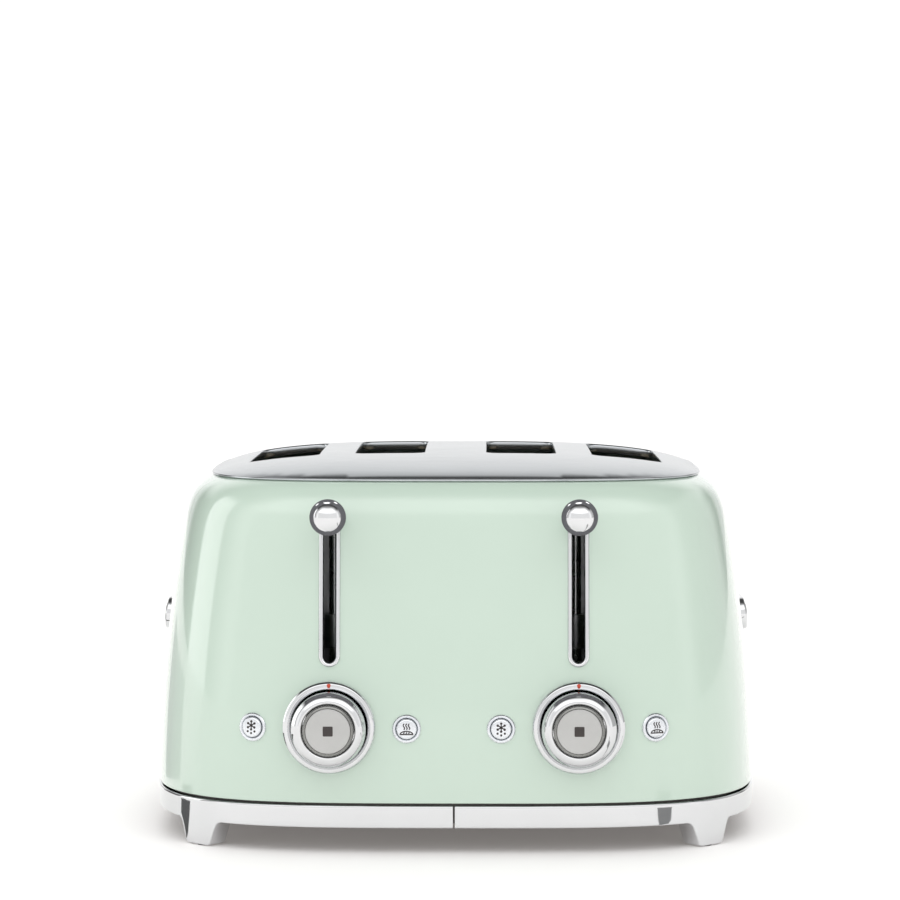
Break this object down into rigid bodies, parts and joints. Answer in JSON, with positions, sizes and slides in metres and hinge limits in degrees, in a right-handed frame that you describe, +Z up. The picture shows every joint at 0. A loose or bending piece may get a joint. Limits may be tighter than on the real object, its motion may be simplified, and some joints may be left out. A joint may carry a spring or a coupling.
{
  "type": "pop-up toaster",
  "caption": "Four-slot pop-up toaster with a pillow-shaped painted body, polished slotted top, ball levers, browning dials, push buttons and a chrome base band on feet.",
  "frame": {"origin": "on the floor, under the middle of the whole object", "axes": "+Z up, -Y towards the user (levers and dials), +X to the user's right"},
  "size_m": [0.3298, 0.3521, 0.2066],
  "materials": {
    "mint_enamel": "gloss",
    "polished_steel": "fine satin polish",
    "chrome": "mirror polish",
    "satin_button": "satin",
    "zinc_sheet": "plain galvanised sheet",
    "black_sheet": "matt black",
    "rubber": "matt",
    "mica": "matt mica with flat ribbon winding",
    "steel_wire": "bright drawn wire",
    "board": "matt laminate",
    "copper_coil": "enamelled winding",
    "black_plastic": "matt",
    "white_plastic": "matt"
  },
  "bodies": {
    "toaster_body": {"body_shell_front": "mint_enamel", "body_shell_rear": "mint_enamel", "top_plate": "polished_steel", "base_trim_left": "chrome", "base_trim_right": "chrome", "bottom_plate": "black_sheet", "foot_pads": "rubber", "lever_slot_trim_left": "chrome", "lever_slot_trim_right": "chrome", "dial_bezel_left": "chrome", "dial_bezel_right": "chrome", "button_bezels": "chrome", "side_badge_left": "chrome", "side_badge_right": "chrome", "front_bulkhead": "zinc_sheet", "rear_bulkhead": "zinc_sheet", "heat_shield_left": "zinc_sheet", "heat_shield_right": "zinc_sheet", "heater_1": "mica", "heater_2": "mica", "heater_3": "mica", "heater_4": "mica", "heater_5": "mica", "heater_6": "mica", "guide_rods": "steel_wire", "electromagnet_left": "copper_coil", "electromagnet_right": "copper_coil", "circuit_board_left": "board", "circuit_board_right": "board", "cord_gland": "black_plastic", "terminal_block": "white_plastic", "base_screws": "zinc_sheet", "lift_spring_left": "steel_wire", "lift_spring_right": "steel_wire"},
    "lever_unit_left": {"carriage_left": "zinc_sheet", "lever_ball_left": "chrome", "bread_lifter_1": "zinc_sheet", "bread_lifter_2": "zinc_sheet"},
    "lever_unit_right": {"carriage_right": "zinc_sheet", "lever_ball_right": "chrome", "bread_lifter_3": "zinc_sheet", "bread_lifter_4": "zinc_sheet"},
    "guide_1": {"bread_guide_1": "steel_wire"},
    "guide_2": {"bread_guide_2": "steel_wire"},
    "guide_3": {"bread_guide_3": "steel_wire"},
    "guide_4": {"bread_guide_4": "steel_wire"},
    "guide_5": {"bread_guide_5": "steel_wire"},
    "guide_6": {"bread_guide_6": "steel_wire"},
    "guide_7": {"bread_guide_7": "steel_wire"},
    "guide_8": {"bread_guide_8": "steel_wire"},
    "dial_left": {"dial_knob_left": "chrome"},
    "stop_left": {"stop_button_left": "satin_button"},
    "defrost_left": {"defrost_button_left": "satin_button"},
    "reheat_left": {"reheat_button_left": "satin_button"},
    "tray_left": {"crumb_tray_left": "zinc_sheet"},
    "dial_right": {"dial_knob_right": "chrome"},
    "stop_right": {"stop_button_right": "satin_button"},
    "defrost_right": {"defrost_button_right": "satin_button"},
    "reheat_right": {"reheat_button_right": "satin_button"},
    "tray_right": {"crumb_tray_right": "zinc_sheet"}
  },
  "joints": [
    {"name": "lever_left", "type": "slide", "parent": "toaster_body", "child": "lever_unit_left", "axis": [0, 0, 1], "range_m": [-0.068, 0], "stiffness_N_per_m": 90, "springref_m": 0.045, "deforming": ["lift_spring_left"]},
    {"name": "lever_right", "type": "slide", "parent": "toaster_body", "child": "lever_unit_right", "axis": [0, 0, 1], "range_m": [-0.068, 0], "stiffness_N_per_m": 90, "springref_m": 0.045, "deforming": ["lift_spring_right"]},
    {"name": "guide_1_tilt", "type": "hinge", "parent": "toaster_body", "child": "guide_1", "pos_m": [-0.1109, 0.00541, 0.045], "axis": [0, 1, 0], "range_deg": [0, 5.5]},
    {"name": "guide_2_tilt", "type": "hinge", "parent": "toaster_body", "child": "guide_2", "pos_m": [-0.0777, 0.00541, 0.045], "axis": [0, 1, 0], "range_deg": [-5.5, 0]},
    {"name": "guide_3_tilt", "type": "hinge", "parent": "toaster_body", "child": "guide_3", "pos_m": [-0.0527, 0.00541, 0.045], "axis": [0, 1, 0], "range_deg": [0, 5.5]},
    {"name": "guide_4_tilt", "type": "hinge", "parent": "toaster_body", "child": "guide_4", "pos_m": [-0.0195, 0.00541, 0.045], "axis": [0, 1, 0], "range_deg": [-5.5, 0]},
    {"name": "guide_5_tilt", "type": "hinge", "parent": "toaster_body", "child": "guide_5", "pos_m": [0.0195, 0.00541, 0.045], "axis": [0, 1, 0], "range_deg": [0, 5.5]},
    {"name": "guide_6_tilt", "type": "hinge", "parent": "toaster_body", "child": "guide_6", "pos_m": [0.0527, 0.00541, 0.045], "axis": [0, 1, 0], "range_deg": [-5.5, 0]},
    {"name": "guide_7_tilt", "type": "hinge", "parent": "toaster_body", "child": "guide_7", "pos_m": [0.0777, 0.00541, 0.045], "axis": [0, 1, 0], "range_deg": [0, 5.5]},
    {"name": "guide_8_tilt", "type": "hinge", "parent": "toaster_body", "child": "guide_8", "pos_m": [0.1109, 0.00541, 0.045], "axis": [0, 1, 0], "range_deg": [-5.5, 0]},
    {"name": "dial_left_turn", "type": "hinge", "parent": "toaster_body", "child": "dial_left", "pos_m": [-0.0652, -0.16459, 0.0662], "axis": [0, -1, 0], "range_deg": [-150, 150]},
    {"name": "stop_left_press", "type": "slide", "parent": "toaster_body", "child": "stop_left", "axis": [0, 1, 0], "range_m": [0, 0.002], "stiffness_N_per_m": 800, "springref_m": -0.002},
    {"name": "defrost_left_press", "type": "slide", "parent": "toaster_body", "child": "defrost_left", "axis": [0.3391, 0.9387, -0.0619], "range_m": [0, 0.0015], "stiffness_N_per_m": 500, "springref_m": -0.002},
    {"name": "reheat_left_press", "type": "slide", "parent": "toaster_body", "child": "reheat_left", "axis": [0.0061, 0.9987, -0.0513], "range_m": [0, 0.0015], "stiffness_N_per_m": 500, "springref_m": -0.002},
    {"name": "crumb_tray_left_slide", "type": "slide", "parent": "toaster_body", "child": "tray_left", "axis": [0, 1, 0], "range_m": [0, 0.18]},
    {"name": "dial_right_turn", "type": "hinge", "parent": "toaster_body", "child": "dial_right", "pos_m": [0.0652, -0.16459, 0.0662], "axis": [0, -1, 0], "range_deg": [-150, 150]},
    {"name": "stop_right_press", "type": "slide", "parent": "toaster_body", "child": "stop_right", "axis": [0, 1, 0], "range_m": [0, 0.002], "stiffness_N_per_m": 800, "springref_m": -0.002},
    {"name": "defrost_right_press", "type": "slide", "parent": "toaster_body", "child": "defrost_right", "axis": [-0.0061, 0.9987, -0.0513], "range_m": [0, 0.0015], "stiffness_N_per_m": 500, "springref_m": -0.002},
    {"name": "reheat_right_press", "type": "slide", "parent": "toaster_body", "child": "reheat_right", "axis": [-0.3391, 0.9387, -0.0619], "range_m": [0, 0.0015], "stiffness_N_per_m": 500, "springref_m": -0.002},
    {"name": "crumb_tray_right_slide", "type": "slide", "parent": "toaster_body", "child": "tray_right", "axis": [0, 1, 0], "range_m": [0, 0.18]}
  ],
  "couplings": [
    {"joint": "guide_1_tilt", "follows": "lever_left", "rad_per_m": -1.4},
    {"joint": "guide_2_tilt", "follows": "lever_left", "rad_per_m": 1.4},
    {"joint": "guide_3_tilt", "follows": "lever_left", "rad_per_m": -1.4},
    {"joint": "guide_4_tilt", "follows": "lever_left", "rad_per_m": 1.4},
    {"joint": "guide_5_tilt", "follows": "lever_right", "rad_per_m": -1.4},
    {"joint": "guide_6_tilt", "follows": "lever_right", "rad_per_m": 1.4},
    {"joint": "guide_7_tilt", "follows": "lever_right", "rad_per_m": -1.4},
    {"joint": "guide_8_tilt", "follows": "lever_right", "rad_per_m": 1.4}
  ]
}
